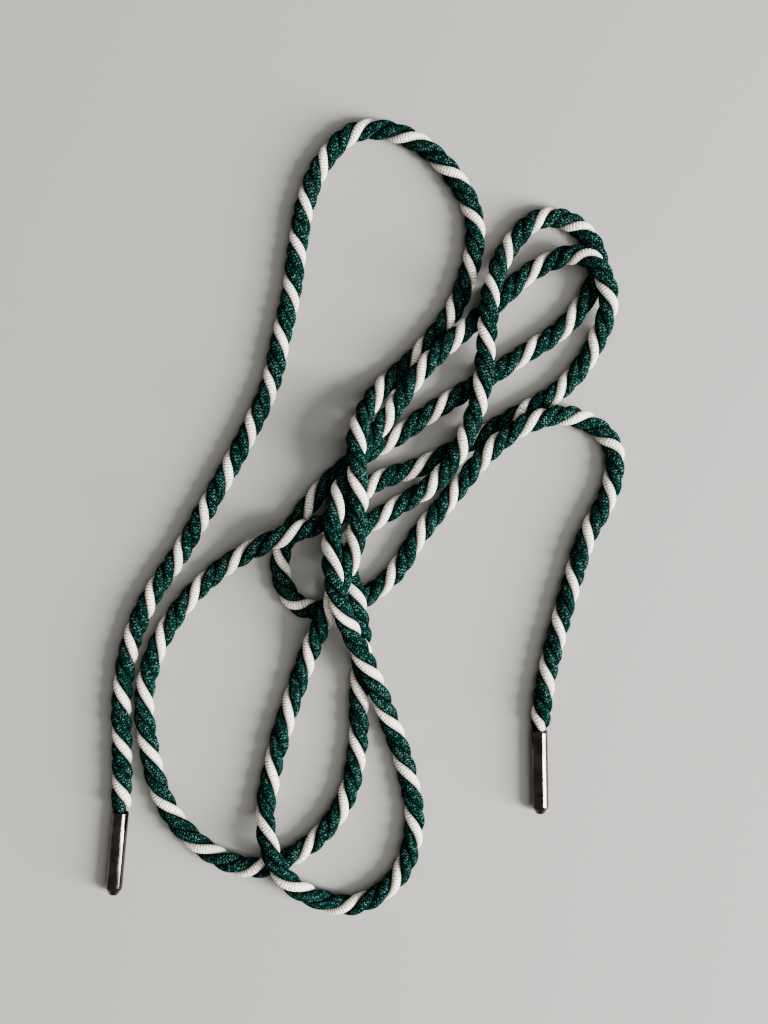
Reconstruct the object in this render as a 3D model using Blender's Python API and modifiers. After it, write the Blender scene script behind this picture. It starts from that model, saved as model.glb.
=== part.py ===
# Cord tie belt: one long cord of three twisted strands, with a slim metal end on each end,
# laid in loose loops on a flat surface. Metres, +Z up. The origin is the middle of the laid
# belt, on the surface.
import math

import bpy
import numpy as np
from mathutils import Quaternion, Vector

MM = 0.001

# The cord.
CORD_DIAMETER = 6.9 * MM
NESTING = 0.96  # crossing cords sink a little into each other's grooves
HUMP_LENGTH = 18.0 * MM  # how far each side of a crossing the cord comes down again
EVENING_LENGTH = 7.0 * MM  # the cord is too stiff for bends within this length
SQUEEZE_LENGTH = 3.0 * MM  # where it narrows to enter a metal end
CURVE_STEPS = 14  # smooth points for each turn of the twist
POINT_SPACING = 26.0 * MM  # between the tube's points where it runs straight
BEND_WEIGHT = 26.0 * MM  # a radian of bend draws tube points like this much length
NECK_WEIGHT = 90  # a narrowing draws them like this many times its depth
TUBE_SIDES = 12  # one corner of the section is straight down

# The metal ends: a thin shell, open at its mouth, with a short conical tip.
END_LENGTH = 27.9 * MM
END_DIAMETER = 5.7 * MM
END_WALL = 0.45 * MM
END_LIP = 0.2 * MM
END_SIDES = 16
TIP_LENGTH = 2.4 * MM
TIP_DIAMETER = 2.9 * MM
TIP_NOSE = 0.3 * MM
TIP_WALL = 0.8 * MM
BORE_CLEARANCE = 0.3 * MM

# Where the metal ends lie: their mouths, and the way they point, in the grid of the route.
LEFT_MOUTH = (-82.6 * MM, -98.8 * MM)
LEFT_WAY = (-0.09, -1.0)
RIGHT_MOUTH = (57.1 * MM, -71.6 * MM)
RIGHT_WAY = (0.014, -1.0)
MIDDLE = (-0.9 * MM, -0.8 * MM)  # the middle of the laid belt, in the grid of the route

# The route, in millimetres: x, y, order. Each row is the place where the pale strand crosses
# over the top of the cord, so a row is one turn of the twist after the row before it. Where
# the cord crosses itself, the stretch with the higher order lies on top.
ROUTE = [
    # up the left side
    (-82, -91, 0), (-82, -76, 0), (-82, -59.5, 0), (-79, -42, 0), (-72.5, -27, 0),
    (-63, -13, 0), (-54.5, 1.5, 0), (-46.5, 15.5, 0), (-39, 29.5, 0), (-32.5, 44, 0),
    (-29, 59.5, 0), (-25.5, 74.5, 0), (-23.5, 90, 0), (-21, 104, 0), (-15, 118, 0),
    # round the top and down the middle
    (-3.5, 128.5, 0), (14, 126, 0), (28, 114, 0), (35.5, 99, 0), (34, 82.5, 0),
    (27.5, 67, 0), (16, 53, 0), (3, 40.5, 0), (-3.5, 26.5, 3), (-3, 9.5, 3),
    (-4.5, -10.5, 2.5), (-12.5, -29.5, 1), (-19.5, -45.5, 0), (-26.5, -65, 0), (-32, -85, 0),
    # round the bottom loop and up again
    (-34, -103.5, 1), (-25.5, -121, 1), (-7.5, -130, 0), (9.5, -121, 0), (15.5, -103, 0),
    (13, -85.5, 0), (7, -67.5, 0), (0, -49.5, 1), (-7.5, -32.5, 3), (-11.5, -14, 3),
    (-10, 5.5, 2), (-3.5, 19, 1.5), (7, 33.5, 1.5), (17.5, 48, 1), (30, 60, 1),
    # round the lower right loop
    (41.5, 70, 0), (56, 82.5, 0), (71, 86, 1), (79.5, 72.5, 0), (75, 56, 0),
    (64, 42, 0), (50.5, 34, 0), (33.5, 24.5, 0), (16.5, 16, 0), (1.5, 11, 0),
    # round the big left loop
    (-11, -1, 0), (-25, -5.5, 1), (-43.5, -14, 0), (-57.5, -25, 0), (-69, -41, 0),
    (-74.5, -58.5, 0), (-73, -77.5, 0), (-67.5, -96, 0), (-55, -110.5, 0), (-38, -117.5, 0),
    (-20, -110, 0), (-8, -95.5, 0), (-3.5, -77.5, 0), (-3, -58.5, 0), (-2, -40.5, 0.5),
    (-4.5, -25, 1), (-7.5, -9.5, 1), (6, 1, 0.5), (22, 11, 1), (31, 23.5, 2),
    # round the upper right loop
    (37, 40, 2), (39, 58.5, 2), (40.5, 74.5, 2), (46, 88, 0), (57.5, 99.5, 0),
    (70, 96.5, 0), (77, 84, 0), (67, 64.5, 0), (53.5, 55, 0), (38, 45, 0),
    (24, 36.5, 0), (8.5, 26, 0), (-6, 17.5, 0), (-19.5, 4, 0),
    # round the small left loop and out to the right end
    (-29.5, -14.5, 0), (-23.5, -30, 0), (-7.5, -30, 0), (7.5, -20.5, 0), (17.5, -5.5, 0),
    (28.5, 7.5, 0), (39.5, 21, 1), (53.5, 31, 1), (69, 33, 0), (81.5, 24, 0),
    (80.5, 8, 0), (73, -6.5, 0), (68, -22, 0), (63.5, -37.5, 0), (59.5, -53.5, 0),
    (57.3, -69, 0),
]

CORD_RADIUS = CORD_DIAMETER / 2
END_RADIUS = END_DIAMETER / 2
BORE_RADIUS = END_RADIUS - END_WALL
BORE_DEPTH = END_LENGTH - TIP_LENGTH - TIP_WALL
CORD_IN_BORE_RADIUS = BORE_RADIUS - BORE_CLEARANCE
CORD_IN_BORE = BORE_DEPTH - BORE_CLEARANCE
END_AXIS_HEIGHT = END_RADIUS * math.cos(math.pi / END_SIDES)  # a facet lies on the surface


def clear_scene():
    for item in list(bpy.data.objects):
        bpy.data.objects.remove(item, do_unlink=True)


def material(name, colour, roughness, metallic):
    made = bpy.data.materials.new(name)
    made.use_nodes = True
    shader = made.node_tree.nodes["Principled BSDF"]
    shader.inputs["Base Color"].default_value = (*colour, 1)
    shader.inputs["Roughness"].default_value = roughness
    shader.inputs["Metallic"].default_value = metallic
    return made


def beyond_mouth(mouth, way, distance):
    """The point this far past a metal end's mouth, towards its tip."""
    away = np.array(way) / np.linalg.norm(way)
    return np.array(mouth) + away * distance


def smooth_curve(rows):
    """A centripetal Catmull-Rom curve through the rows, and the row number of each point."""
    ways = np.vstack([2 * rows[0] - rows[1], rows, 2 * rows[-1] - rows[-2]])
    points, numbers = [], []
    for i in range(1, len(ways) - 2):
        a, b, c, d = ways[i - 1 : i + 3]
        chords = [np.linalg.norm(q - p) ** 0.5 for p, q in ((a, b), (b, c), (c, d))]
        t0, t1, t2, t3 = np.cumsum([0, *chords])
        for share in np.arange(CURVE_STEPS) / CURVE_STEPS:
            t = t1 + (t2 - t1) * share
            ab = (a * (t1 - t) + b * (t - t0)) / (t1 - t0)
            bc = (b * (t2 - t) + c * (t - t1)) / (t2 - t1)
            cd = (c * (t3 - t) + d * (t - t2)) / (t3 - t2)
            abc = (ab * (t2 - t) + bc * (t - t0)) / (t2 - t0)
            bcd = (bc * (t3 - t) + cd * (t - t1)) / (t3 - t1)
            points.append((abc * (t2 - t) + bcd * (t - t1)) / (t2 - t1))
            numbers.append(i - 1 + share)
    return np.array([*points, rows[-1]]), np.array([*numbers, len(rows) - 1])


def bell(distance, reach):
    """A weight that falls smoothly from 1 at no distance to 0 at this reach."""
    return (1 + np.cos(math.pi * np.minimum(distance / reach, 1))) / 2


def resting_heights(plan, order, apart, evening):
    """The height of the cord's middle: on the surface, or over the stretches that it crosses."""
    away = np.linalg.norm(plan[:, None] - plan[None], axis=2)
    reach = NESTING * CORD_DIAMETER
    lies_on = (apart > HUMP_LENGTH / 2) & (away < reach) & (order[:, None] > order[None])
    rise = np.sqrt(np.maximum(reach**2 - away**2, 0))
    hump = bell(apart, HUMP_LENGTH)
    height = np.full(len(plan), CORD_RADIUS)
    for _ in range(8):  # more than the deepest stack of crossings
        held = np.where(lies_on, height[None] + rise, CORD_RADIUS).max(1)
        height = CORD_RADIUS + evening @ (hump * (held - CORD_RADIUS)).max(1)
    return height


def cord_line():
    """Points close together along the cord's middle, and its radius at each."""
    first = beyond_mouth(LEFT_MOUTH, LEFT_WAY, CORD_IN_BORE)
    last = beyond_mouth(RIGHT_MOUTH, RIGHT_WAY, CORD_IN_BORE)
    table = np.array(ROUTE, float)
    rows = np.vstack([first, LEFT_MOUTH, table[:, :2] * MM, RIGHT_MOUTH, last])
    plan, numbers = smooth_curve(rows)
    order = np.interp(numbers, np.arange(len(rows)), [0, 0, *table[:, 2], 0, 0])

    inside = (numbers < 1) | (numbers > len(rows) - 2)
    to_mouth = np.minimum(
        np.linalg.norm(plan - LEFT_MOUTH, axis=1), np.linalg.norm(plan - RIGHT_MOUTH, axis=1)
    )
    free = np.where(inside, 0, 1 - bell(to_mouth, SQUEEZE_LENGTH))

    along = np.concatenate([[0], np.cumsum(np.linalg.norm(np.diff(plan, axis=0), axis=1))])
    apart = abs(along[:, None] - along[None])
    evening = bell(apart, EVENING_LENGTH) * np.gradient(along)
    evening = evening / evening.sum(1, keepdims=True)
    plan = plan + free[:, None] * (evening @ plan - plan)
    height = resting_heights(plan, order, apart, evening)
    height = END_AXIS_HEIGHT + (height - END_AXIS_HEIGHT) * free
    radius = CORD_IN_BORE_RADIUS + (CORD_RADIUS - CORD_IN_BORE_RADIUS) * free
    return np.column_stack([plan - MIDDLE, height]), radius


def thinned(points, radii):
    """Which points to keep: closer together where the line bends or the cord narrows."""
    steps = np.diff(points, axis=0)
    lengths = np.linalg.norm(steps, axis=1)
    ways = steps / lengths[:, None]
    bends = np.arccos(np.clip((ways[1:] * ways[:-1]).sum(1), -1, 1))
    pull = lengths + BEND_WEIGHT * np.convolve([0, *bends, 0], [0.5, 0.5], "valid")
    pull = pull + NECK_WEIGHT * abs(np.diff(radii))
    along = np.concatenate([[0], np.cumsum(pull)])
    stops = np.linspace(0, along[-1] * (1 - 1e-9), round(along[-1] / POINT_SPACING))
    return np.unique(np.searchsorted(along, stops))


def build_cord(collection, cord_material):
    points, radii = cord_line()
    kept = thinned(points, radii)
    curve = bpy.data.curves.new("cord", "CURVE")
    curve.dimensions = "3D"
    curve.twist_mode = "Z_UP"
    curve.bevel_depth = CORD_RADIUS
    curve.bevel_resolution = TUBE_SIDES // 2 - 2
    curve.use_fill_caps = True
    spline = curve.splines.new("POLY")
    spline.points.add(len(kept) - 1)
    for point, place, radius in zip(spline.points, points[kept], radii[kept]):
        point.co = (*place, 1)
        point.radius = radius / CORD_RADIUS
    curve.materials.append(cord_material)
    collection.objects.link(bpy.data.objects.new("cord", curve))


def end_profile():
    """Half the section of a metal end, from the bore's floor round to the nose, mouth up."""
    return [
        (0, -BORE_DEPTH),
        (BORE_RADIUS, -BORE_DEPTH),
        (BORE_RADIUS, 0),
        (END_RADIUS - END_LIP, 0),
        (END_RADIUS, -END_LIP),
        (END_RADIUS, TIP_LENGTH - END_LENGTH),
        (TIP_DIAMETER / 2, TIP_NOSE - END_LENGTH),
        (TIP_DIAMETER / 4, -END_LENGTH),
        (0, -END_LENGTH),
    ]


def build_end(name, mouth, way, collection, end_material):
    profile = end_profile()
    mesh = bpy.data.meshes.new(name)
    edges = [(i, i + 1) for i in range(len(profile) - 1)]
    mesh.from_pydata([(x, 0, z) for x, z in profile], edges, [])
    mesh.materials.append(end_material)
    end = bpy.data.objects.new(name, mesh)
    collection.objects.link(end)
    turned = end.modifiers.new("Turned", "SCREW")
    turned.axis = "Z"
    turned.steps = END_SIDES
    turned.render_steps = END_SIDES
    turned.use_merge_vertices = True
    turned.merge_threshold = 0.00001
    # One facet faces straight down: the mouth looks back along the way, local Y is up.
    facet = 2 * math.pi / END_SIDES
    quarter = (1.5 * math.pi - facet / 2) % facet
    flat_down = Quaternion((0, 0, 1), quarter)
    place = np.array(mouth) - MIDDLE
    end.location = (*place, END_AXIS_HEIGHT)
    end.rotation_mode = "QUATERNION"
    end.rotation_quaternion = Vector((*way, 0)).to_track_quat("-Z", "Y") @ flat_down


def main():
    clear_scene()
    belt = bpy.data.collections.new("cord_tie_belt")
    bpy.context.scene.collection.children.link(belt)
    green_cord = material("green_cord", (0.01, 0.09, 0.062), 0.8, 0)
    gunmetal = material("gunmetal", (0.16, 0.145, 0.14), 0.28, 1)
    build_cord(belt, green_cord)
    build_end("cord_end_left", LEFT_MOUTH, LEFT_WAY, belt, gunmetal)
    build_end("cord_end_right", RIGHT_MOUTH, RIGHT_WAY, belt, gunmetal)


main()
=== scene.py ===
import math

import bmesh
import bpy
import numpy as np
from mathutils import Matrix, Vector, noise


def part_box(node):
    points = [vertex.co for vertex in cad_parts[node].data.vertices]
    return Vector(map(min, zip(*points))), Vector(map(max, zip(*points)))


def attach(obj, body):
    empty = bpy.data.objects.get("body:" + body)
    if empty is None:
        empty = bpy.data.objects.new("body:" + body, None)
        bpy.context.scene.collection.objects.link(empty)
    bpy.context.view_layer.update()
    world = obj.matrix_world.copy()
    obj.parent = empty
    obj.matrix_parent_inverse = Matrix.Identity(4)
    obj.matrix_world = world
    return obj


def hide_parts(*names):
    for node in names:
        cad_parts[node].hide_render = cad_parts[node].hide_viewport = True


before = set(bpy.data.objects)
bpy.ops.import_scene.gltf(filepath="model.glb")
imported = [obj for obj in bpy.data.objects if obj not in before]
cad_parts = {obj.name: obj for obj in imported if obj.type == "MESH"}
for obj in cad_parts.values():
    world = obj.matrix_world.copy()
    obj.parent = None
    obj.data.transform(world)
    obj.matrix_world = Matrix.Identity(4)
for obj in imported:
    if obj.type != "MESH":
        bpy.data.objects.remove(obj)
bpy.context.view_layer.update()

mm = 0.001

# The camera looks straight down on the laid belt.
camera = {
    "middle": (6.2 * mm, 2.1 * mm),
    "height": 403.45 * mm,
    "imageWidth": 768,
    "focalPixels": 1200,
    "sensorWidth": 36.0,
}


def addCamera():
    lens = bpy.data.cameras.new("beltCamera")
    lens.sensor_fit = "HORIZONTAL"
    lens.sensor_width = camera["sensorWidth"]
    lens.lens = camera["sensorWidth"] * camera["focalPixels"] / camera["imageWidth"]
    lens.clip_start = 10 * mm
    holder = bpy.data.objects.new("beltCamera", lens)
    holder.location = (*camera["middle"], camera["height"])
    bpy.context.scene.collection.objects.link(holder)
    bpy.context.scene.camera = holder


# The cord's line, as the model has it, in the grid of the route.
cord = {
    "diameter": 6.9 * mm,
    "nesting": 0.96,  # crossing cords sink a little into each other's grooves
    "humpLength": 18 * mm,  # how far each side of a crossing the cord comes down again
    "eveningLength": 7 * mm,  # the cord is too stiff for bends within this length
    "squeezeLength": 3 * mm,  # where it narrows to enter a metal end
    "stepsPerTurn": 14,
    "stackRounds": 8,  # more than the deepest stack of crossings
    "boreRadius": 2.1 * mm,
    "boreLength": 24.4 * mm,
    "endPitch": 16 * mm,  # one turn of the twist, beside the metal ends and inside them
    "middle": (-0.9 * mm, -0.8 * mm),  # of the laid belt, in the grid of the route
}
ends = {
    "metalEndLeft": {
        "mouth": (-82.6 * mm, -98.8 * mm),
        "way": (-0.09, -1.0),  # it points away from the cord
        "seam": 56,  # degrees from the top, to the right
        "pressed": 0.22 * mm,  # how deep its flatter side is pressed in
        "seed": 3,
    },
    "metalEndRight": {
        "mouth": (57.1 * mm, -71.6 * mm),
        "way": (0.014, -1.0),
        "seam": -50,
        "pressed": 0.0,
        "seed": 8,
    },
}
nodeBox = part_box("cord_end_left")
endAxisHeight = (nodeBox[0].z + nodeBox[1].z) / 2

# x, y, order, in millimetres. Each row is one turn of the twist after the row before it, where the
# ivory strand crosses over the top. At a crossing, the stretch with the higher order lies on top.
route = [
    # up the left side
    (-82, -91, 0), (-82, -76, 0), (-82, -59.5, 0), (-79, -42, 0), (-72.5, -27, 0),
    (-63, -13, 0), (-54.5, 1.5, 0), (-46.5, 15.5, 0), (-39, 29.5, 0), (-32.5, 44, 0),
    (-29, 59.5, 0), (-25.5, 74.5, 0), (-23.5, 90, 0), (-21, 104, 0), (-15, 118, 0),
    # round the top and down the middle
    (-3.5, 128.5, 0), (14, 126, 0), (28, 114, 0), (35.5, 99, 0), (34, 82.5, 0),
    (27.5, 67, 0), (16, 53, 0), (3, 40.5, 0), (-3.5, 26.5, 3), (-3, 9.5, 3),
    (-4.5, -10.5, 2.5), (-12.5, -29.5, 1), (-19.5, -45.5, 0), (-26.5, -65, 0), (-32, -85, 0),
    # round the bottom loop and up again
    (-34, -103.5, 1), (-25.5, -121, 1), (-7.5, -130, 0), (9.5, -121, 0), (15.5, -103, 0),
    (13, -85.5, 0), (7, -67.5, 0), (0, -49.5, 1), (-7.5, -32.5, 3), (-11.5, -14, 3),
    (-10, 5.5, 2), (-3.5, 19, 1.5), (7, 33.5, 1.5), (17.5, 48, 1), (30, 60, 1),
    # round the lower right loop
    (41.5, 70, 0), (56, 82.5, 0), (71, 86, 1), (79.5, 72.5, 0), (75, 56, 0),
    (64, 42, 0), (50.5, 34, 0), (33.5, 24.5, 0), (16.5, 16, 0), (1.5, 11, 0),
    # round the big left loop
    (-11, -1, 0), (-25, -5.5, 1), (-43.5, -14, 0), (-57.5, -25, 0), (-69, -41, 0),
    (-74.5, -58.5, 0), (-73, -77.5, 0), (-67.5, -96, 0), (-55, -110.5, 0), (-38, -117.5, 0),
    (-20, -110, 0), (-8, -95.5, 0), (-3.5, -77.5, 0), (-3, -58.5, 0), (-2, -40.5, 0.5),
    (-4.5, -25, 1), (-7.5, -9.5, 1), (6, 1, 0.5), (22, 11, 1), (31, 23.5, 2),
    # round the upper right loop
    (37, 40, 2), (39, 58.5, 2), (40.5, 74.5, 2), (46, 88, 0), (57.5, 99.5, 0),
    (70, 96.5, 0), (77, 84, 0), (67, 64.5, 0), (53.5, 55, 0), (38, 45, 0),
    (24, 36.5, 0), (8.5, 26, 0), (-6, 17.5, 0), (-19.5, 4, 0),
    # round the small left loop and out to the right end
    (-29.5, -14.5, 0), (-23.5, -30, 0), (-7.5, -30, 0), (7.5, -20.5, 0), (17.5, -5.5, 0),
    (28.5, 7.5, 0), (39.5, 21, 1), (53.5, 31, 1), (69, 33, 0), (81.5, 24, 0),
    (80.5, 8, 0), (73, -6.5, 0), (68, -22, 0), (63.5, -37.5, 0), (59.5, -53.5, 0),
    (57.3, -69, 0),
]


def pastMouth(end, distance):
    way = np.array(end["way"]) / np.linalg.norm(end["way"])
    return np.array(end["mouth"]) + way * distance


def smoothCurve(rows, steps):  # centripetal Catmull-Rom, with the row number of each point
    ways = np.vstack([2 * rows[0] - rows[1], rows, 2 * rows[-1] - rows[-2]])
    points, numbers = [], []
    for i in range(1, len(ways) - 2):
        a, b, c, d = ways[i - 1 : i + 3]
        chords = [np.linalg.norm(q - p) ** 0.5 for p, q in ((a, b), (b, c), (c, d))]
        t0, t1, t2, t3 = np.cumsum([0, *chords])
        for share in np.arange(steps) / steps:
            t = t1 + (t2 - t1) * share
            ab = (a * (t1 - t) + b * (t - t0)) / (t1 - t0)
            bc = (b * (t2 - t) + c * (t - t1)) / (t2 - t1)
            cd = (c * (t3 - t) + d * (t - t2)) / (t3 - t2)
            abc = (ab * (t2 - t) + bc * (t - t0)) / (t2 - t0)
            bcd = (bc * (t3 - t) + cd * (t - t1)) / (t3 - t1)
            points.append((abc * (t2 - t) + bcd * (t - t1)) / (t2 - t1))
            numbers.append(i - 1 + share)
    return np.array([*points, rows[-1]]), np.array([*numbers, len(rows) - 1])


def bell(distance, reach):  # 1 at no distance, falling smoothly to 0 at this reach
    return (1 + np.cos(math.pi * np.minimum(distance / reach, 1))) / 2


def restingHeights(plan, order, apart, evening):  # on the surface, or over what the cord crosses
    radius = cord["diameter"] / 2
    away = np.linalg.norm(plan[:, None] - plan[None], axis=2)
    reach = cord["nesting"] * cord["diameter"]
    liesOn = (apart > cord["humpLength"] / 2) & (away < reach) & (order[:, None] > order[None])
    rise = np.sqrt(np.maximum(reach**2 - away**2, 0))
    hump = bell(apart, cord["humpLength"])
    height = np.full(len(plan), radius)
    for _ in range(cord["stackRounds"]):
        held = np.where(liesOn, height[None] + rise, radius).max(1)
        height = radius + evening @ (hump * (held - radius)).max(1)
    return height


def cordLine():  # the line's points, the turn of the twist at each, and the cord's girth there
    left, right = ends["metalEndLeft"], ends["metalEndRight"]
    table = np.array(route, float)
    first, last = pastMouth(left, cord["boreLength"]), pastMouth(right, cord["boreLength"])
    rows = np.vstack([first, left["mouth"], table[:, :2] * mm, right["mouth"], last])
    plan, numbers = smoothCurve(rows, cord["stepsPerTurn"])
    rowNumbers = np.arange(len(rows))
    order = np.interp(numbers, rowNumbers, [0, 0, *table[:, 2], 0, 0])

    # The twist goes on into the metal ends at its usual rate.
    inEnd = cord["boreLength"] / cord["endPitch"]
    before = np.linalg.norm(rows[2] - rows[1]) / cord["endPitch"]
    after = len(route) - 1 + np.linalg.norm(rows[-2] - rows[-3]) / cord["endPitch"]
    turns = [-before - inEnd, -before, *range(len(route)), after, after + inEnd]
    turn = np.interp(numbers, rowNumbers, turns)

    inside = (numbers < 1) | (numbers > len(rows) - 2)
    toMouths = [np.linalg.norm(plan - end["mouth"], axis=1) for end in (left, right)]
    free = np.where(inside, 0, 1 - bell(np.minimum(*toMouths), cord["squeezeLength"]))

    along = np.concatenate([[0], np.cumsum(np.linalg.norm(np.diff(plan, axis=0), axis=1))])
    apart = abs(along[:, None] - along[None])
    evening = bell(apart, cord["eveningLength"]) * np.gradient(along)
    evening = evening / evening.sum(1, keepdims=True)
    plan = plan + free[:, None] * (evening @ plan - plan)
    turn = turn + free * (evening @ turn - turn)
    height = restingHeights(plan, order, apart, evening)
    height = endAxisHeight + (height - endAxisHeight) * free
    boreShare = cord["boreRadius"] / (cord["diameter"] / 2)
    girth = boreShare + (1 - boreShare) * free
    return np.column_stack([plan - cord["middle"], height]), turn, girth


def cordPath(points, turn, girth):  # a line of edges that carries the twist and the girth
    mesh = bpy.data.meshes.new("cordPath")
    mesh.from_pydata([tuple(p) for p in points], [(i, i + 1) for i in range(len(points) - 1)], [])
    for name, values in (("turn", turn), ("girth", girth)):
        mesh.attributes.new(name, "FLOAT", "POINT").data.foreach_set("value", values.astype(np.float32))
    return mesh


# Short hands for building node trees.
def socketOf(sockets, key):
    if isinstance(key, int):
        return sockets[key]
    return next(s for s in sockets if s.name == key and s.enabled)


def addNode(tree, kind, inputs=None, **settings):
    node = tree.nodes.new(kind)
    for name, value in settings.items():
        setattr(node, name, value)
    for key, value in (inputs or {}).items():
        socket = socketOf(node.inputs, key)
        if isinstance(value, bpy.types.NodeSocket):
            tree.links.new(value, socket)
        else:
            socket.default_value = value
    return node


def calc(tree, operation, *values):
    return addNode(tree, "ShaderNodeMath", dict(enumerate(values)), operation=operation).outputs[0]


def vectorCalc(tree, operation, *values):
    node = addNode(tree, "ShaderNodeVectorMath", dict(enumerate(values)), operation=operation)
    return node.outputs[1 if operation in ("DOT_PRODUCT", "LENGTH") else 0]


def scaled(tree, vector, factor):
    node = addNode(tree, "ShaderNodeVectorMath", {0: vector, "Scale": factor}, operation="SCALE")
    return node.outputs[0]


def smoothStep(tree, value, low, high):
    inputs = {0: value, 1: low, 2: high, 3: 0.0, 4: 1.0}
    return addNode(tree, "ShaderNodeMapRange", inputs, interpolation_type="SMOOTHSTEP").outputs[0]


def mixed(tree, factor, a, b):
    node = addNode(tree, "ShaderNodeMix", {0: factor, 6: a, 7: b}, data_type="RGBA")
    return node.outputs[2]


def named(tree, name, dataType="FLOAT"):
    node = addNode(tree, "GeometryNodeInputNamedAttribute", {"Name": name}, data_type=dataType)
    return socketOf(node.outputs, "Attribute")


def stored(tree, geometry, name, value, dataType="FLOAT"):
    inputs = {"Geometry": geometry, "Name": name, "Value": value}
    kinds = {"data_type": dataType, "domain": "POINT"}
    return addNode(tree, "GeometryNodeStoreNamedAttribute", inputs, **kinds).outputs[0]


# The three strands. Each is a knitted tube wound round the cord's line: its ribs run across it, in
# columns that lean to and fro.
ribSpacing = 0.82 * mm
greenWinding = {"yarn": "greenYarn", "helixRadius": 1.53 * mm, "radius": 1.96 * mm}
ivoryWinding = {"yarn": "ivoryYarn", "helixRadius": 1.74 * mm, "radius": 1.60 * mm}
strands = {  # share is where the strand starts, of a turn
    "ivoryStrand": {"share": 0.0, "seed": 1, **ivoryWinding},
    "greenStrandA": {"share": 1 / 3, "seed": 2, **greenWinding},
    "greenStrandB": {"share": 2 / 3, "seed": 3, **greenWinding},
}
strand = {
    "Ring Spacing": 0.255 * mm,
    "Sides": 12,
    "Rib Spacing": ribSpacing,
    "Rib Depth": 0.07 * mm,
    "Unevenness": 0.2,  # how much its thickness varies
    "Wobbles": 1.7,  # how often it does so, in a turn
}


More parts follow.
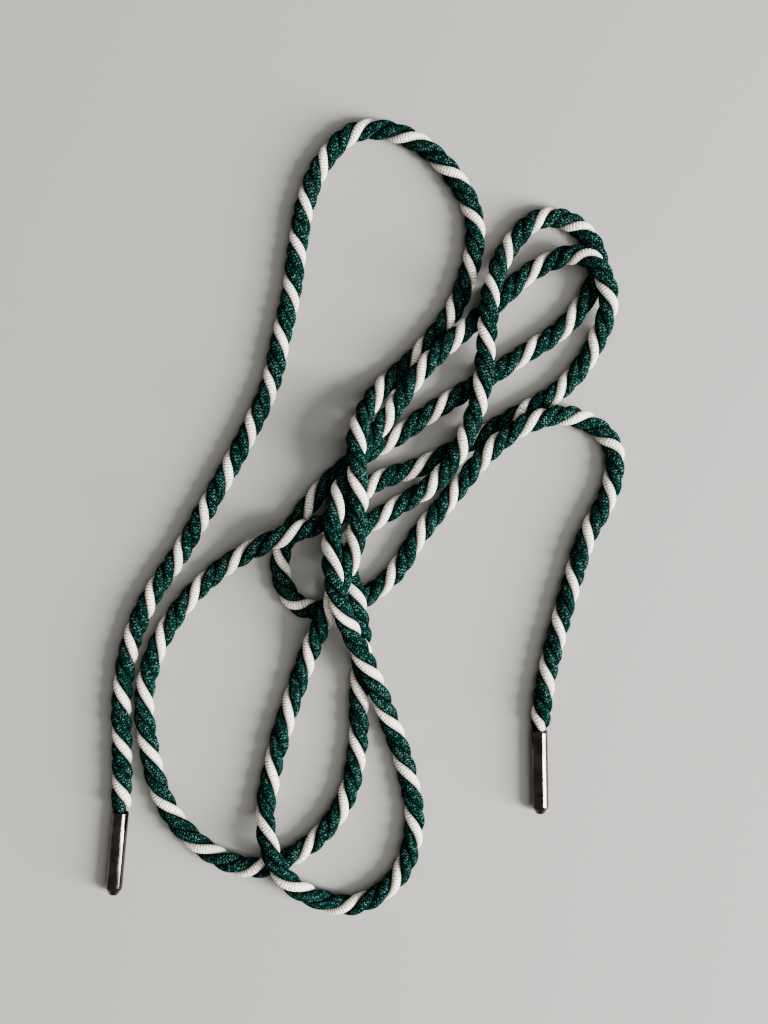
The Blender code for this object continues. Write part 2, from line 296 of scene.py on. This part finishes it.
def strandTree():
    tree = bpy.data.node_groups.new("twistedStrand", "GeometryNodeTree")
    face = tree.interface
    face.new_socket("Path", in_out="INPUT", socket_type="NodeSocketGeometry")
    face.new_socket("Share", in_out="INPUT", socket_type="NodeSocketFloat")
    for name, value in strand.items():
        kind = "NodeSocketInt" if isinstance(value, int) else "NodeSocketFloat"
        face.new_socket(name, in_out="INPUT", socket_type=kind).default_value = value
    for name in ("Helix Radius", "Strand Radius", "Seed"):
        face.new_socket(name, in_out="INPUT", socket_type="NodeSocketFloat")
    face.new_socket("Yarn", in_out="INPUT", socket_type="NodeSocketMaterial")
    face.new_socket("Strand", in_out="OUTPUT", socket_type="NodeSocketGeometry")
    given = addNode(tree, "NodeGroupInput").outputs

    line = addNode(tree, "GeometryNodeMeshToCurve", {"Mesh": given["Path"]}).outputs[0]
    smoothed = addNode(tree, "GeometryNodeCurveSplineType", {"Curve": line}, spline_type="CATMULL_ROM")
    rings = {"Curve": smoothed.outputs[0], "Length": given["Ring Spacing"]}
    curve = addNode(tree, "GeometryNodeResampleCurve", rings, mode="LENGTH").outputs[0]

    # Across the cord: up, and to the right of the way that it runs.
    way = addNode(tree, "GeometryNodeInputTangent").outputs[0]
    right = vectorCalc(tree, "NORMALIZE", vectorCalc(tree, "CROSS_PRODUCT", way, (0, 0, 1)))
    up = vectorCalc(tree, "CROSS_PRODUCT", right, way)
    place = addNode(tree, "GeometryNodeInputPosition").outputs[0]
    curve = stored(tree, curve, "axisPoint", place, "FLOAT_VECTOR")
    curve = stored(tree, curve, "axisWay", way, "FLOAT_VECTOR")

    # The strand's own line goes round it to the left, as an S twist does.
    angle = calc(tree, "MULTIPLY", calc(tree, "ADD", named(tree, "turn"), given["Share"]), math.tau)
    upPart = scaled(tree, up, calc(tree, "COSINE", angle))
    rightPart = scaled(tree, right, calc(tree, "SINE", angle))
    outward = vectorCalc(tree, "SUBTRACT", upPart, rightPart)
    reach = calc(tree, "MULTIPLY", named(tree, "girth"), given["Helix Radius"])
    moved = {"Geometry": curve, "Offset": scaled(tree, outward, reach)}
    wound = addNode(tree, "GeometryNodeSetPosition", moved).outputs[0]
    length = addNode(tree, "GeometryNodeSplineParameter").outputs["Length"]
    curve = stored(tree, wound, "along", length)

    # The section is a circle that knows how far round it each point is.
    sizes = {"Resolution": given["Sides"], "Radius": given["Strand Radius"]}
    circle = addNode(tree, "GeometryNodeCurvePrimitiveCircle", sizes).outputs[0]
    share = addNode(tree, "GeometryNodeSplineParameter").outputs["Factor"]
    section = stored(tree, circle, "around", share)
    seeded = calc(tree, "ADD", named(tree, "turn"), given["Seed"])
    drift = {"W": seeded, "Scale": given["Wobbles"]}
    wobble = addNode(tree, "ShaderNodeTexNoise", drift, noise_dimensions="1D").outputs[0]
    swing = calc(tree, "MULTIPLY", calc(tree, "SUBTRACT", wobble, 0.5), given["Unevenness"])
    thickness = calc(tree, "MULTIPLY", named(tree, "girth"), calc(tree, "ADD", swing, 1.0))
    sweep = {"Curve": curve, "Profile Curve": section, "Scale": thickness, "Fill Caps": True}
    tube = addNode(tree, "GeometryNodeCurveToMesh", sweep).outputs[0]

    # Fine ribs across the strand.
    ribs = calc(tree, "DIVIDE", named(tree, "along"), given["Rib Spacing"])
    wave = calc(tree, "COSINE", calc(tree, "MULTIPLY", ribs, math.tau))
    valley = calc(tree, "MULTIPLY", calc(tree, "SUBTRACT", 1.0, wave), -0.5)
    sink = calc(tree, "MULTIPLY", valley, given["Rib Depth"])
    normal = addNode(tree, "GeometryNodeInputNormal").outputs[0]
    sunk = {"Geometry": tube, "Offset": scaled(tree, normal, sink)}
    ribbed = addNode(tree, "GeometryNodeSetPosition", sunk).outputs[0]

    # What the yarn's material reads: the place round and along the strand, and how far out it lies.
    around = calc(tree, "MULTIPLY", named(tree, "around"), math.tau)
    aroundCosine, aroundSine = calc(tree, "COSINE", around), calc(tree, "SINE", around)
    parts = {0: aroundCosine, 1: aroundSine, 2: named(tree, "along")}
    spot = addNode(tree, "ShaderNodeCombineXYZ", parts).outputs[0]
    body = stored(tree, ribbed, "strandPlace", spot, "FLOAT_VECTOR")
    surface = addNode(tree, "GeometryNodeInputPosition").outputs[0]
    fromAxis = vectorCalc(tree, "SUBTRACT", surface, named(tree, "axisPoint", "FLOAT_VECTOR"))
    axisWay = named(tree, "axisWay", "FLOAT_VECTOR")
    ahead = scaled(tree, axisWay, vectorCalc(tree, "DOT_PRODUCT", fromAxis, axisWay))
    across = vectorCalc(tree, "LENGTH", vectorCalc(tree, "SUBTRACT", fromAxis, ahead))
    whole = calc(tree, "ADD", given["Helix Radius"], given["Strand Radius"])
    body = stored(tree, body, "outness", calc(tree, "DIVIDE", across, whole))

    smooth = addNode(tree, "GeometryNodeSetShadeSmooth", {"Geometry": body}).outputs[0]
    realized = addNode(tree, "GeometryNodeRealizeInstances", {"Geometry": smooth}).outputs[0]
    finish = {"Geometry": realized, "Material": given["Yarn"]}
    dressed = addNode(tree, "GeometryNodeSetMaterial", finish).outputs[0]
    addNode(tree, "NodeGroupOutput", {"Strand": dressed})
    return tree


def grown(name, mesh, tree, values):  # the plain mesh that a node tree makes of this one
    holder = bpy.data.objects.new(name + "Path", mesh)
    bpy.context.scene.collection.objects.link(holder)
    modifier = holder.modifiers.new("Grown", "NODES")
    modifier.node_group = tree
    sockets = [item for item in tree.interface.items_tree if item.in_out == "INPUT"]
    identifierOf = {socket.name: socket.identifier for socket in sockets}
    for key, value in values.items():
        modifier[identifierOf[key]] = value
    bpy.context.view_layer.update()
    evaluated = holder.evaluated_get(bpy.context.evaluated_depsgraph_get())
    result = bpy.data.meshes.new_from_object(evaluated)
    holder.modifiers.remove(modifier)
    bpy.data.objects.remove(holder, do_unlink=True)
    result.name = name
    piece = bpy.data.objects.new(name, result)
    bpy.context.scene.collection.objects.link(piece)
    print(name, len(result.polygons), "faces")
    return piece


# Yarn: columns of knitted V stitches, their fibres, painted highlights on the ribs' crests, and painted
# shade in the ribs' valleys, in the seams and between the strands. Lean is how far a column's ribs rise
# to its seam, Whole the share of a rib's rise at which it has its own colour and no painted shade, Seam
# how much painted shade the seams get, and Fray how much the fibres break up the ribs' edges.
knitInputs = ("Rib Spacing", "Columns", "Lean", "Whole", "Seam", "Fray")
knit = {
    "fibreScale": 3000.0,
    "patchScale": 130.0,
    "strayScale": 800.0,
    "stray": 0.7,  # how far a rib strays from its line, of the rib spacing
    "seamSpan": (0.7, 1.0),
    "crestSpan": (0.5, 0.95),  # the part of a rib that can sparkle
    "luckSpan": (0.2, 1.0),
    "fibreSpan": (0.4, 0.6),
    "patchSpan": (0.35, 0.65),
    "outerSpan": (0.62, 0.95),  # of the cord's radius
    "patchShade": 0.15,
    "fibreRelief": 0.5,
    "reliefDepth": 0.16 * mm,
    "sheenRoughness": 0.5,
}


def knitGroup():
    tree = bpy.data.node_groups.new("knitYarn", "ShaderNodeTree")
    face = tree.interface
    for name in knitInputs:
        face.new_socket(name, in_out="INPUT", socket_type="NodeSocketFloat")
    for name in ("Stitch", "Gap", "Spark", "Patch", "Outer", "Height"):
        face.new_socket(name, in_out="OUTPUT", socket_type="NodeSocketFloat")
    given = addNode(tree, "NodeGroupInput").outputs
    place = addNode(tree, "ShaderNodeAttribute", attribute_name="strandPlace").outputs["Vector"]
    parts = addNode(tree, "ShaderNodeSeparateXYZ", {0: place}).outputs
    around = calc(tree, "DIVIDE", calc(tree, "ARCTAN2", parts[1], parts[0]), math.tau)
    columns = calc(tree, "MULTIPLY", around, given["Columns"])
    sway = calc(tree, "MULTIPLY", calc(tree, "FRACT", columns), 2.0)
    lean = calc(tree, "ABSOLUTE", calc(tree, "SUBTRACT", sway, 1.0))
    ribs = calc(tree, "DIVIDE", parts[2], given["Rib Spacing"])
    ribs = calc(tree, "ADD", ribs, calc(tree, "MULTIPLY", lean, given["Lean"]))
    where = addNode(tree, "ShaderNodeTexCoord").outputs["Object"]
    uneven = {"Vector": where, "Scale": knit["strayScale"], "Detail": 0.0}
    stray = calc(tree, "SUBTRACT", addNode(tree, "ShaderNodeTexNoise", uneven).outputs[0], 0.5)
    ribs = calc(tree, "ADD", ribs, calc(tree, "MULTIPLY", stray, knit["stray"]))
    wave = calc(tree, "COSINE", calc(tree, "MULTIPLY", ribs, math.tau))
    wave = calc(tree, "ADD", calc(tree, "MULTIPLY", wave, 0.5), 0.5)

    # Each arm of a stitch gets its own painted highlight, as if it caught the light in its own way.
    arm = calc(tree, "FLOOR", calc(tree, "MULTIPLY", columns, 2.0))
    stitchNumber = calc(tree, "FLOOR", calc(tree, "ADD", ribs, 0.5))
    cell = addNode(tree, "ShaderNodeCombineXYZ", {0: arm, 1: stitchNumber})
    draw = {"Vector": cell.outputs[0]}
    luck = addNode(tree, "ShaderNodeTexWhiteNoise", draw, noise_dimensions="2D").outputs["Value"]
    fine = {"Vector": where, "Scale": knit["fibreScale"], "Detail": 3.0}
    fibre = addNode(tree, "ShaderNodeTexNoise", fine).outputs[0]
    broad = {"Vector": where, "Scale": knit["patchScale"], "Detail": 2.0}
    patch = addNode(tree, "ShaderNodeTexNoise", broad).outputs[0]
    outness = addNode(tree, "ShaderNodeAttribute", attribute_name="outness").outputs["Fac"]
    seam = calc(tree, "MULTIPLY", smoothStep(tree, lean, *knit["seamSpan"]), given["Seam"])
    bright = smoothStep(tree, fibre, *knit["fibreSpan"])
    spark = calc(tree, "MULTIPLY", smoothStep(tree, luck, *knit["luckSpan"]), bright)
    crest = smoothStep(tree, wave, *knit["crestSpan"])
    fray = calc(tree, "MULTIPLY", calc(tree, "SUBTRACT", fibre, 0.5), given["Fray"])
    height = calc(tree, "ADD", wave, calc(tree, "MULTIPLY", fibre, knit["fibreRelief"]))
    results = {
        "Stitch": smoothStep(tree, calc(tree, "ADD", wave, fray), 0.0, given["Whole"]),
        "Gap": seam,
        "Spark": calc(tree, "MULTIPLY", crest, spark),
        "Patch": smoothStep(tree, patch, *knit["patchSpan"]),
        "Outer": smoothStep(tree, outness, *knit["outerSpan"]),
        "Height": calc(tree, "SUBTRACT", height, seam),
    }
    addNode(tree, "NodeGroupOutput", results)
    return tree


yarns = {
    "greenYarn": {
        "knit": {"Columns": 10.0, "Lean": 0.62, "Whole": 0.9, "Seam": 0.6, "Fray": 0.8},
        "paintedShadeAndPatch": (0.0001, 0.0013, 0.0010, 1),
        "body": (0.0003, 0.0122, 0.0096, 1),
        "light": (0.076, 0.182, 0.156, 1),
        "paintedGrooveShade": (0.0001, 0.0008, 0.0007, 1),
        "roughness": 0.55,
        "specular": 0.0,
        "relief": 0.8,
        "sheen": 0.0,
    },
    "ivoryYarn": {
        "knit": {"Columns": 8.0, "Lean": 0.2, "Whole": 0.36, "Seam": 0.1, "Fray": 1.4},
        "paintedShadeAndPatch": (0.17, 0.132, 0.092, 1),
        "body": (0.84, 0.80, 0.69, 1),
        "light": (0.94, 0.93, 0.87, 1),
        "paintedGrooveShade": (0.12, 0.09, 0.065, 1),
        "roughness": 0.8,
        "specular": 0.3,
        "relief": 0.75,
        "sheen": 0.1,
    },
}


def yarnMaterial(name, group):
    look = yarns[name]
    made = bpy.data.materials.new(name)
    made.use_nodes = True
    tree = made.node_tree
    shader = tree.nodes["Principled BSDF"]
    sizes = {"Rib Spacing": ribSpacing, **look["knit"]}
    yarn = addNode(tree, "ShaderNodeGroup", sizes, node_tree=group).outputs
    # Painted shade in the valleys between the ribs, where the stitch mask falls off.
    colour = mixed(tree, yarn["Stitch"], look["paintedShadeAndPatch"], look["body"])
    # Painted highlights on the ribs' crests, in the light colour.
    colour = mixed(tree, yarn["Spark"], colour, look["light"])
    # Painted shade in the seams between the columns.
    colour = mixed(tree, yarn["Gap"], colour, look["paintedShadeAndPatch"])
    # Darker patches at random, towards the same colour.
    shade = calc(tree, "MULTIPLY", yarn["Patch"], knit["patchShade"])
    colour = mixed(tree, shade, colour, look["paintedShadeAndPatch"])
    # Painted shade between the strands, on the faces that lie nearest the cord's middle.
    colour = mixed(tree, yarn["Outer"], look["paintedGrooveShade"], colour)
    tree.links.new(colour, shader.inputs["Base Color"])
    shader.inputs["Roughness"].default_value = look["roughness"]
    shader.inputs["Sheen Weight"].default_value = look["sheen"]
    shader.inputs["Sheen Roughness"].default_value = knit["sheenRoughness"]
    shader.inputs["Specular IOR Level"].default_value = look["specular"]
    raised = {"Strength": look["relief"], "Distance": knit["reliefDepth"], "Height": yarn["Height"]}
    bump = addNode(tree, "ShaderNodeBump", raised)
    tree.links.new(bump.outputs[0], shader.inputs["Normal"])
    return made


# The metal ends: sheet rolled into a tube, with an open slot at the mouth, a fine seam below it and
# a conical nose. Distances run from the mouth to the tip.
metalEnd = {
    "radius": 2.79 * mm,
    "wall": 0.34 * mm,
    "length": 27.9 * mm,
    "lip": 0.14 * mm,
    "coneLength": 2.4 * mm,
    "coneSteps": (0.3, 0.65, 0.93),  # shares of the way from the nose to the tube
    "coneEdge": 0.12 * mm,
    "noseRadius": 1.45 * mm,
    "noseLength": 0.3 * mm,
    "noseCrown": 0.03 * mm,
    "slotLength": 5.8 * mm,
    "slotWidth": 1.9 * mm,
    "slotEndWidth": 1.0 * mm,
    "slotEndLength": 0.25 * mm,  # where the slot narrows to the seam
    "seamWidth": 0.10 * mm,
    "seamStop": 0.5 * mm,  # before the cone
    "lapHeight": 0.09 * mm,
    "lapReach": 12,  # degrees
    "linerStart": 0.3 * mm,
    "linerEnd": 9.0 * mm,
    "linerWall": 0.18 * mm,
    "linerGap": 0.02 * mm,
    "linerSpread": 38,  # degrees to each side of the seam
    "linerSteps": 12,
    "pressedAt": 28,  # degrees from the top, to the right
    "pressedReach": 48,
    "dents": 0.002 * mm,
    "dentLength": 3 * mm,
    "sides": 72,
    "rings": 44,
    "weldDistance": 0.002 * mm,
    "sharpAngle": 32,
}


def gapAt(distance):  # how wide the sheet stands open at this distance from the mouth
    end = metalEnd
    cone = end["length"] - end["coneLength"]
    slotEnd = end["slotLength"] + end["slotEndLength"]
    stops = [0, end["slotLength"], slotEnd, cone - end["seamStop"], cone]
    widths = [end["slotWidth"], end["slotEndWidth"], end["seamWidth"], end["seamWidth"], 0]
    return float(np.interp(distance, stops, widths))


def shellProfile():  # distance and radius, from the tip's middle out and up to the mouth, then inside
    end = metalEnd
    length, radius, cone = end["length"], end["radius"], end["length"] - end["coneLength"]
    nose = length - end["noseLength"]
    noseRadius, lip, coneEdge = end["noseRadius"], end["lip"], cone - end["coneEdge"]
    outside = [(length, 0), (length - end["noseCrown"], noseRadius * 0.6), (nose, noseRadius)]
    for share in end["coneSteps"]:
        outside.append((nose + (cone - nose) * share, noseRadius + (radius - noseRadius) * share))
    outside.append((coneEdge, radius - 0.02 * mm))
    even = np.linspace(lip, cone - end["seamStop"], end["rings"])
    straight = sorted({*even, end["slotLength"], end["slotLength"] + end["slotEndLength"]})
    outside += [(z, radius) for z in reversed(straight)]
    inner = radius - end["wall"]
    rim = [(lip * 0.3, radius - lip * 0.3), (0, radius - lip), (0, inner + lip * 0.6)]
    inside = [(z, inner) for z in straight] + [(coneEdge, inner), (cone, inner * 0.5), (cone, 0)]
    return outside, rim, inside


def metalEndMesh(name, end, metal):
    sizes = metalEnd
    outside, rim, inside = shellProfile()
    profile = outside + rim + inside
    start = Vector((*(np.array(end["mouth"]) - cord["middle"]), endAxisHeight))
    way = Vector((*end["way"], 0)).normalized()
    up = Vector((0, 0, 1))
    right = up.cross(way)
    verts, faces = [], []
    sides = sizes["sides"]

    def spot(distance, radius, angle):
        return start + way * distance + (up * math.cos(angle) + right * math.sin(angle)) * radius

    seam = math.radians(end["seam"])
    pressedAt = math.radians(sizes["pressedAt"]) + math.tau  # a slightly flat side
    pressedReach = math.radians(sizes["pressedReach"])
    for distance, radius in profile:
        half = gapAt(distance) / 2 / sizes["radius"]
        share = min(1, radius / sizes["radius"])
        for i in range(sides + 1):
            angle = seam + half + (math.tau - 2 * half) * i / sides
            drift = Vector((math.cos(angle), math.sin(angle), distance / sizes["dentLength"]))
            drift += Vector((end["seed"], 0, 0))
            dent = (noise.noise(drift) - 1) * sizes["dents"] * share
            dent -= end["pressed"] * float(bell(abs(angle - pressedAt), pressedReach)) * share
            toSeam = math.degrees(seam + math.tau - angle)
            lapped = max(0, 1 - toSeam / sizes["lapReach"]) if half > 0 else 0
            lap = sizes["lapHeight"] * lapped * lapped * (3 - 2 * lapped)
            verts.append(spot(distance, max(0, radius + dent - lap) if radius else 0, angle))
    columns = sides + 1
    for j in range(len(profile) - 1):
        for i in range(sides):
            a = j * columns + i
            faces.append((a, a + 1, a + 1 + columns, a + columns))
    # Side walls of the slot and the seam, between the outer and the inner rings.
    ringOf = {round(z / mm, 4): j for j, (z, _) in enumerate(outside)}
    innerStart = len(outside) + len(rim)
    innerRings = [(round(z / mm, 4), innerStart + k) for k, (z, _) in enumerate(inside)]
    pairs = [(ringOf[z], k) for z, k in innerRings if z in ringOf]
    rimRings = [len(outside), len(outside) + 1, len(outside) + 2]
    for column in (0, sides):
        flip = column == 0
        for (outerA, innerA), (outerB, innerB) in zip(pairs, pairs[1:]):
            if gapAt(profile[outerA][0]) > 0:
                face = [k * columns + column for k in (outerA, outerB, innerB, innerA)]
                faces.append(tuple(reversed(face)) if flip else tuple(face))
        corner = (*pairs[0], *reversed(rimRings))
        face = [k * columns + column for k in corner]
        faces.append(tuple(reversed(face)) if flip else tuple(face))
    # A liner shows in the slot.
    linerOuter = sizes["radius"] - sizes["wall"] - sizes["linerGap"]
    linerRadii = (linerOuter, linerOuter - sizes["linerWall"])
    half = math.radians(sizes["linerSpread"])
    first = len(verts)
    steps = sizes["linerSteps"]
    for radius in linerRadii:
        for distance in (sizes["linerStart"], sizes["linerEnd"]):
            for i in range(steps + 1):
                verts.append(spot(distance, radius, seam - half + 2 * half * i / steps))
    row = steps + 1
    for i in range(steps):
        for a, b in ((0, 1), (1, 3), (3, 2), (2, 0)):
            near, far = first + a * row + i, first + b * row + i
            faces.append((near, far, far + 1, near + 1))
    for i in (0, steps):
        faces.append(tuple(first + k * row + i for k in (0, 1, 3, 2)))

    mesh = bpy.data.meshes.new(name)
    mesh.from_pydata([tuple(v) for v in verts], [], faces)
    shape = bmesh.new()
    shape.from_mesh(mesh)
    bmesh.ops.remove_doubles(shape, verts=shape.verts, dist=sizes["weldDistance"])
    bmesh.ops.recalc_face_normals(shape, faces=shape.faces)
    shape.to_mesh(mesh)
    shape.free()
    mesh.shade_smooth()
    mesh.set_sharp_from_angle(angle=math.radians(sizes["sharpAngle"]))
    mesh.materials.append(metal)
    piece = bpy.data.objects.new(name, mesh)
    bpy.context.scene.collection.objects.link(piece)
    print(name, len(mesh.polygons), "faces")
    return piece


# Gunmetal: dark plating, drawn lengthwise, a little smudged.
gunmetal = {
    "dark": (0.048, 0.039, 0.034, 1),
    "light": (0.112, 0.100, 0.092, 1),
    "smooth": 0.06,
    "rough": 0.15,
    "drawn": (1.0, 0.06, 1.0),  # the fine lines run along Y, as the metal ends do
    "lineScale": 5000.0,
    "lineShare": 0.4,
    "lineRelief": 0.15,
    "lineDepth": 0.02 * mm,
    "smudgeScale": 260.0,
    "smudgeSpan": (0.3, 0.7),
}


def gunmetalMaterial():
    made = bpy.data.materials.new("gunmetal")
    made.use_nodes = True
    tree = made.node_tree
    shader = tree.nodes["Principled BSDF"]
    where = addNode(tree, "ShaderNodeTexCoord").outputs["Object"]
    stretch = {"Vector": where, "Scale": gunmetal["drawn"]}
    drawn = addNode(tree, "ShaderNodeMapping", stretch).outputs[0]
    fine = {"Vector": drawn, "Scale": gunmetal["lineScale"], "Detail": 2.0}
    lines = addNode(tree, "ShaderNodeTexNoise", fine).outputs[0]
    broad = {"Vector": where, "Scale": gunmetal["smudgeScale"], "Detail": 3.0}
    smudge = addNode(tree, "ShaderNodeTexNoise", broad).outputs[0]
    smudged = smoothStep(tree, smudge, *gunmetal["smudgeSpan"])
    colour = mixed(tree, smudged, gunmetal["dark"], gunmetal["light"])
    tree.links.new(colour, shader.inputs["Base Color"])
    span = gunmetal["rough"] - gunmetal["smooth"]
    uneven = calc(tree, "ADD", smudge, calc(tree, "MULTIPLY", lines, gunmetal["lineShare"]))
    dull = calc(tree, "MULTIPLY", uneven, span)
    rough = calc(tree, "ADD", dull, gunmetal["smooth"] - 0.3 * span)
    tree.links.new(rough, shader.inputs["Roughness"])
    shader.inputs["Metallic"].default_value = 1.0
    raised = {"Strength": gunmetal["lineRelief"], "Distance": gunmetal["lineDepth"], "Height": lines}
    bump = addNode(tree, "ShaderNodeBump", raised)
    tree.links.new(bump.outputs[0], shader.inputs["Normal"])
    return made


# A plain pale surface, a tall window of light low on the right, and a weak wide light above it.
studio = {
    "floorSize": 3.0,
    "floorColour": (0.236, 0.231, 0.214, 1),
    "floorRoughness": 0.9,
    "skyColour": (1.0, 0.97, 0.92, 1),
    "skyStrength": 0.27,
}
lights = {
    "window": {
        "azimuth": -19.5,  # degrees, as the height is
        "height": 27,
        "distance": 2.0,
        "wide": 0.56,
        "tall": 1.38,
        "power": 285.0,
        "mirrored": True,  # the metal mirrors it
    },
    "softTop": {
        "azimuth": -19,
        "height": 68,
        "distance": 0.90,
        "wide": 0.60,
        "tall": 0.60,
        "power": 6.6,
        "mirrored": False,
    },
}


def addLight(name, light):
    azimuth, height = math.radians(light["azimuth"]), math.radians(light["height"])
    level = math.cos(height)
    towards = Vector((math.cos(azimuth) * level, math.sin(azimuth) * level, math.sin(height)))
    panel = bpy.data.lights.new(name, "AREA")
    panel.shape = "RECTANGLE"
    panel.size = light["wide"]
    panel.size_y = light["tall"]
    panel.energy = light["power"]
    holder = bpy.data.objects.new(name, panel)
    holder.location = towards * light["distance"]
    holder.rotation_euler = towards.to_track_quat("Z", "Y").to_euler()
    holder.visible_glossy = light["mirrored"]
    bpy.context.scene.collection.objects.link(holder)


def addStudio():
    scene = bpy.context.scene
    side = studio["floorSize"] / 2
    mesh = bpy.data.meshes.new("floor")
    corners = [(-side, -side, 0), (side, -side, 0), (side, side, 0), (-side, side, 0)]
    mesh.from_pydata(corners, [], [(0, 1, 2, 3)])
    paper = bpy.data.materials.new("paleSurface")
    paper.use_nodes = True
    shader = paper.node_tree.nodes["Principled BSDF"]
    shader.inputs["Base Color"].default_value = studio["floorColour"]
    shader.inputs["Roughness"].default_value = studio["floorRoughness"]
    mesh.materials.append(paper)
    floor = bpy.data.objects.new("floor", mesh)
    scene.collection.objects.link(floor)

    for name, light in lights.items():
        addLight(name, light)
    world = bpy.data.worlds.new("studioSky")
    world.use_nodes = True
    sky = world.node_tree.nodes["Background"]
    sky.inputs["Color"].default_value = studio["skyColour"]
    sky.inputs["Strength"].default_value = studio["skyStrength"]
    scene.world = world


addCamera()
points, turn, girth = cordLine()
print("cord line", len(points), "points")
addStudio()
print("studio")

path = cordPath(points, turn, girth)
windings = strandTree()
knitLook = knitGroup()
yarnOf = {name: yarnMaterial(name, knitLook) for name in yarns}
pieces = []
for name, own in strands.items():
    values = {"Share": own["share"], "Seed": float(own["seed"]), "Yarn": yarnOf[own["yarn"]]}
    values |= {"Helix Radius": own["helixRadius"], "Strand Radius": own["radius"]}
    pieces.append(grown(name, path.copy(), windings, values))
print("strands")

metal = gunmetalMaterial()
metalPieces = [metalEndMesh(name, end, metal) for name, end in ends.items()]
for piece, node in zip(metalPieces, ("cord_end_left", "cord_end_right")):
    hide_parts(node)
for piece in pieces:
    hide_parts("cord")
for piece in pieces + metalPieces:
    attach(piece, "root")
print("metal ends")
